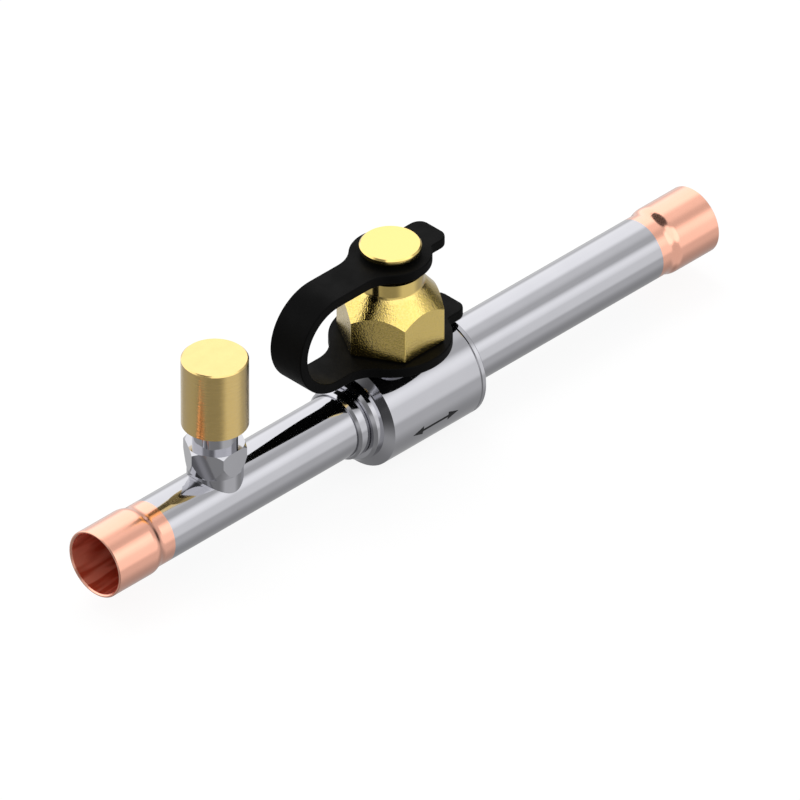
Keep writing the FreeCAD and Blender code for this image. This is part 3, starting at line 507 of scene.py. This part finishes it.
def cut_hole(piece, radius, bottom, top):
    """Cut a round hole down the stem's axis, right through a plate."""
    ring = arc((STEM_X, 0.0), radius, 0, 360 * (1 - 1 / HOLE_STEPS), HOLE_STEPS - 1)
    vertices = [(x, y, z) for z in (bottom - HOLE_SPARE, top + HOLE_SPARE) for x, y in ring]
    cutter = mesh_piece("hole", vertices, loft_faces(2, HOLE_STEPS), piece.data.materials[0])
    modifier = piece.modifiers.new("hole", "BOOLEAN")
    modifier.object = cutter
    modifier.solver = "EXACT"
    cut = bpy.data.meshes.new_from_object(piece.evaluated_get(bpy.context.evaluated_depsgraph_get()))
    piece.modifiers.clear()
    piece.data = cut
    bpy.data.objects.remove(cutter)


def build_strap():
    """The rubber strap: a ring round the neck, a half-round band and an eye under the cap's disc."""
    stations = strap_stations()
    tips = (stations[0][0], stations[-1][0])
    sections = []
    for place, inward, half in stations:
        from_tip = min((place - tip).length for tip in tips)
        rise = max(0.0, 1 - from_tip / STRAP_EDGE)
        inset = STRAP_EDGE * (1 - math.sqrt(1 - rise ** 2))
        points = [(place + inward * depth, across) for across, depth in strap_section(half, inset)]
        sections.append([(point.x, across, point.y) for point, across in points])
    vertices = [vertex for section in sections for vertex in section]
    faces = loft_faces(len(sections), len(sections[0]))
    strap = mesh_piece("rubber_strap", vertices, faces, MATERIALS["black_rubber"])
    cut_hole(strap, RING_HOLE_R, FOOT, FOOT + STRAP_THICKNESS)
    cut_hole(strap, EYE_HOLE_R, TOP - STRAP_THICKNESS, TOP)
    strap.data.set_sharp_from_angle(angle=math.radians(STRAP_SMOOTH_DEG))
    weighted = strap.modifiers.new("even shading", "WEIGHTED_NORMAL")
    weighted.keep_sharp = True
    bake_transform(strap)
    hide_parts("cap_strap")


def build_threads():
    """Screw threads on the neck and the stud, and inside both caps."""
    for name, body, skin, x, pitch, root_r, crest_r, bottom, top in (
        ("neck_thread", "housing", "steel", STEM_X, NECK_PITCH, NECK_ROOT_R, NECK_THREAD_R,
         NECK_THREAD_LOW, NECK_THREAD_HIGH),
        ("stud_thread", "housing", "steel", ACCESS_X, STUD_PITCH, STUD_ROOT_R, STUD_THREAD_R,
         STUD_THREAD_LOW, STUD_THREAD_HIGH),
        ("seal_cap_thread", "seal_cap", "blasted_brass", STEM_X, NECK_PITCH, NECK_THREAD_R + BORE_GAP,
         NECK_ROOT_R + 2 * BORE_GAP, NECK_THREAD_LOW + NECK_PITCH / 2, NECK_THREAD_HIGH),
        ("access_cap_thread", "access_cap", "turned_brass", ACCESS_X, STUD_PITCH, STUD_THREAD_R + BORE_GAP,
         STUD_ROOT_R + 2 * BORE_GAP, STUD_THREAD_LOW + STUD_PITCH / 2, STUD_THREAD_HIGH),
    ):
        vertices, faces = thread(x, pitch, root_r, crest_r, bottom, top)
        mesh_piece(name, vertices, faces, MATERIALS[skin], body, THREAD_SMOOTH_DEG)


def thread(x, pitch, root_r, crest_r, bottom, top):
    """A helical ridge with tapered ends, on a rod or, where its crest is nearer to the axis, in a bore."""
    section = [(0.0, -RIDGE_FOOT), (1.0, -RIDGE_CREST), (1.0, RIDGE_CREST), (0.0, RIDGE_FOOT)]
    if crest_r < root_r:
        section.reverse()
    count = int((top - bottom) / pitch * THREAD_STEPS)
    vertices = []
    for step in range(count + 1):
        angle = 2 * math.pi * step / THREAD_STEPS
        height = bottom + pitch * step / THREAD_STEPS
        fade = min(1.0, 2 * step / THREAD_STEPS, 2 * (count - step) / THREAD_STEPS)
        for rise, offset in section:
            radius = root_r + (crest_r - root_r) * rise * fade
            y = radius * math.sin(angle)
            vertices.append((x + radius * math.cos(angle), y, height + offset * pitch))
    return vertices, loft_faces(count + 1, len(section))


def build_core_spring():
    """The valve core's coil spring, which the pin presses flat on its foot."""
    low, high = box("access_core_spring")
    coil_r = (high.x - low.x) / 2 - SPRING_WIRE_R
    floor = low.z + SPRING_WIRE_R
    rise = high.z - low.z - 2 * SPRING_WIRE_R
    vertices = []
    count = (SPRING_TURNS + 1) * SPRING_STEPS
    for step in range(count + 1):
        turn = step / SPRING_STEPS
        angle = 2 * math.pi * turn
        height = floor + rise * min(1.0, max(0.0, (turn - 0.5) / SPRING_TURNS))
        wire = arc((coil_r, height), SPRING_WIRE_R, 0, 360 * (1 - 1 / SPRING_SIDES), SPRING_SIDES - 1)
        for across, up in wire:
            vertices.append((ACCESS_X + across * math.cos(angle), across * math.sin(angle), up))
    faces = loft_faces(count + 1, SPRING_SIDES)
    skin = MATERIALS["plain_steel"]
    spring = mesh_piece("core_spring_coil", vertices, faces, skin, "housing")
    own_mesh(spring)
    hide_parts("access_core_spring")


def build_flow_arrow():
    """The plain double-headed arrow printed along the barrel: the refrigerant may flow either way."""
    length = ARROW_RIGHT - ARROW_LEFT
    stations = [
        (0.0, 0.0),
        (ARROW_HEAD_LENGTH, ARROW_HEAD_HALF),
        (ARROW_HEAD_LENGTH, ARROW_LINE_HALF),
        (length - ARROW_HEAD_LENGTH, ARROW_LINE_HALF),
        (length - ARROW_HEAD_LENGTH, ARROW_HEAD_HALF),
        (length, 0.0),
    ]
    radius = BARREL_R + ARROW_LIFT
    vertices = []
    for along, half in stations:
        for row in range(ARROW_ROWS + 1):
            below_side = math.radians(ARROW_TURN_DEG) + half * (1 - 2 * row / ARROW_ROWS) / radius
            y = -radius * math.cos(below_side)
            z = -radius * math.sin(below_side)
            vertices.append((STEM_X + ARROW_LEFT + along, y, z))
    faces = []
    for station in range(len(stations) - 1):
        for row in range(ARROW_ROWS):
            here = station * (ARROW_ROWS + 1) + row
            follower = here + ARROW_ROWS + 1
            faces.append((here, here + 1, follower + 1, follower))
    mesh_piece("flow_arrow", vertices, faces, printing_ink(), "housing")


def add_camera():
    """The photograph's view: from the left front, as steep as an isometric drawing."""
    toward_camera = Vector((-1.0, -1.0, 1.0)).normalized()
    right = Vector((1.0, -1.0, 0.0)).normalized()
    up = toward_camera.cross(right)
    target = Vector((STEM_X, 0.0, 0.0)) + right * AIM_RIGHT - up * AIM_DOWN
    lens = bpy.data.cameras.new("camera")
    lens.lens = LENS_MM
    lens.sensor_width = SENSOR_MM
    distance = FRAME_WIDTH * LENS_MM / SENSOR_MM
    lens.clip_end = 4 * distance
    camera = bpy.data.objects.new("camera", lens)
    camera.location = target + toward_camera * distance
    camera.rotation_euler = toward_camera.to_track_quat("Z", "Y").to_euler()
    SCENE.collection.objects.link(camera)
    SCENE.camera = camera


def add_floor():
    """A white floor just under the barrel, which keeps a faint shadow of the valve."""
    made = bpy.data.materials.new("white floor")
    made.use_nodes = True
    tree = made.node_tree
    tree.nodes.clear()
    diffuse = add_node(tree, "ShaderNodeBsdfDiffuse")
    diffuse.inputs["Color"].default_value = (FLOOR_SHADE, FLOOR_SHADE, FLOOR_SHADE, 1.0)
    glow = add_node(tree, "ShaderNodeEmission")
    path = add_node(tree, "ShaderNodeLightPath")
    level = add_node(tree, "ShaderNodeMath", operation="MULTIPLY")
    level.inputs[1].default_value = FLOOR_GLOW
    tree.links.new(path.outputs["Is Camera Ray"], level.inputs[0])
    tree.links.new(level.outputs["Value"], glow.inputs["Strength"])
    both = add_node(tree, "ShaderNodeAddShader")
    output = add_node(tree, "ShaderNodeOutputMaterial")
    tree.links.new(diffuse.outputs["BSDF"], both.inputs[0])
    tree.links.new(glow.outputs["Emission"], both.inputs[1])
    tree.links.new(both.outputs["Shader"], output.inputs["Surface"])
    height = CAD_LOW.z - FLOOR_GAP
    signs = ((-1, -1), (1, -1), (1, 1), (-1, 1))
    corners = [(STEM_X + x * FLOOR_REACH, y * FLOOR_REACH, height) for x, y in signs]
    floor = mesh_piece("floor", corners, [(0, 1, 2, 3)], made)
    floor.visible_glossy = False


# What the metal mirrors: a base level and the areas laid over it in turn. Each area has a direction, the
# angles from it at which it starts to fade and has faded out, and a brightness, where 1 is the background's
# white. Matt surfaces are lit by one even level instead.
STUDIO_BASE = 0.70
STUDIO_MATT = 0.75
STUDIO_AREAS = [
    # Pale wall and ceiling, and the broad soft boxes behind the valve and before it
    ((0.40, 0.90, 0.10), 45, 75, 0.82),
    ((0.50, 0.12, 0.85), 8, 28, 0.98),
    ((0.05, 0.75, 0.65), 38, 50, 1.52),
    ((0.58, -0.81, 0.05), 10, 21, 1.07),
    ((0.25, -0.80, 0.52), 17, 28, 1.65),
    # Dim ground round and under the valve
    ((-0.50, 0.60, -0.60), 30, 55, 0.42),
    ((-0.60, -0.55, -0.58), 12, 38, 0.3),
    ((0.58, 0.45, -0.68), 12, 30, 0.45),
    ((0.75, -0.10, -0.65), 5, 35, 0.38),
    ((-0.10, 0.05, -1.00), 20, 42, 0.28),
    # Dark screens beyond the left end, and the lamp behind them
    ((-0.82, -0.41, 0.41), 8, 20, 0.35),
    ((-1.00, 0.00, 0.00), 18, 40, 0.10),
    ((-0.55, 0.60, 0.55), 14, 28, 1.6),
    # Dark screens beyond the right end
    ((0.98, 0.05, 0.00), 16, 38, 0.36),
    ((0.98, -0.18, 0.00), 8, 18, 0.04),
    # Dark screen overhead, and the two lamps before it
    ((-0.16, 0.16, 0.97), 29, 37, 0.10),
    ((-0.20, -0.68, 0.70), 18, 29, 1.5),
    ((-0.41, -0.41, 0.82), 8, 15, 1.6),
]


def add_studio():
    """World light: white behind the object, an even level for matt surfaces, soft boxes for the metal."""
    world = bpy.data.worlds.new("studio")
    world.use_nodes = True
    world.cycles.sampling_method = "NONE"
    SCENE.world = world
    tree = world.node_tree
    tree.nodes.clear()
    place = add_node(tree, "ShaderNodeTexCoord")
    level = add_node(tree, "ShaderNodeValue").outputs["Value"]
    level.default_value = STUDIO_BASE
    for direction, inner_deg, outer_deg, brightness in STUDIO_AREAS:
        facing = add_node(tree, "ShaderNodeVectorMath", operation="DOT_PRODUCT")
        facing.inputs[1].default_value = Vector(direction).normalized()
        tree.links.new(place.outputs["Generated"], facing.inputs[0])
        edge = add_node(tree, "ShaderNodeMapRange", interpolation_type="SMOOTHSTEP")
        edge.inputs["From Min"].default_value = math.cos(math.radians(outer_deg))
        edge.inputs["From Max"].default_value = math.cos(math.radians(inner_deg))
        tree.links.new(facing.outputs["Value"], edge.inputs["Value"])
        blend = add_node(tree, "ShaderNodeMix", data_type="FLOAT")
        tree.links.new(edge.outputs["Result"], blend.inputs["Factor"])
        tree.links.new(level, blend.inputs["A"])
        blend.inputs["B"].default_value = brightness
        level = blend.outputs["Result"]
    path = add_node(tree, "ShaderNodeLightPath")
    seen = add_node(tree, "ShaderNodeMath", operation="MAXIMUM")
    tree.links.new(path.outputs["Is Camera Ray"], seen.inputs[0])
    tree.links.new(path.outputs["Is Transmission Ray"], seen.inputs[1])
    matt = add_node(tree, "ShaderNodeMix", data_type="FLOAT")
    matt.inputs["A"].default_value = STUDIO_MATT
    tree.links.new(path.outputs["Is Glossy Ray"], matt.inputs["Factor"])
    tree.links.new(level, matt.inputs["B"])
    shown = add_node(tree, "ShaderNodeMix", data_type="FLOAT")
    shown.inputs["B"].default_value = 1.0
    tree.links.new(seen.outputs["Value"], shown.inputs["Factor"])
    tree.links.new(matt.outputs["Result"], shown.inputs["A"])
    light = add_node(tree, "ShaderNodeBackground")
    light.inputs["Color"].default_value = (1.0, 1.0, 1.0, 1.0)
    output = add_node(tree, "ShaderNodeOutputWorld")
    tree.links.new(shown.outputs["Result"], light.inputs["Strength"])
    tree.links.new(light.outputs["Background"], output.inputs["Surface"])


def add_key_light():
    """A broad soft box above, which gives matt surfaces their shape and the floor its shadow."""
    lamp = bpy.data.lights.new("key", "AREA")
    lamp.shape = "SQUARE"
    lamp.size = KEY_SIZE
    lamp.energy = KEY_POWER
    key = bpy.data.objects.new("key", lamp)
    key.location = Vector((STEM_X, 0, 0)) + Vector(KEY_PLACE)
    key.rotation_euler = (key.location - Vector((STEM_X, 0, 0))).to_track_quat("Z", "Y").to_euler()
    key.visible_glossy = False
    SCENE.collection.objects.link(key)


SCENE.view_settings.view_transform = "Standard"
dress_cad_pieces()
build_strap()
build_threads()
build_core_spring()
build_flow_arrow()
add_camera()
add_floor()
add_studio()
add_key_light()
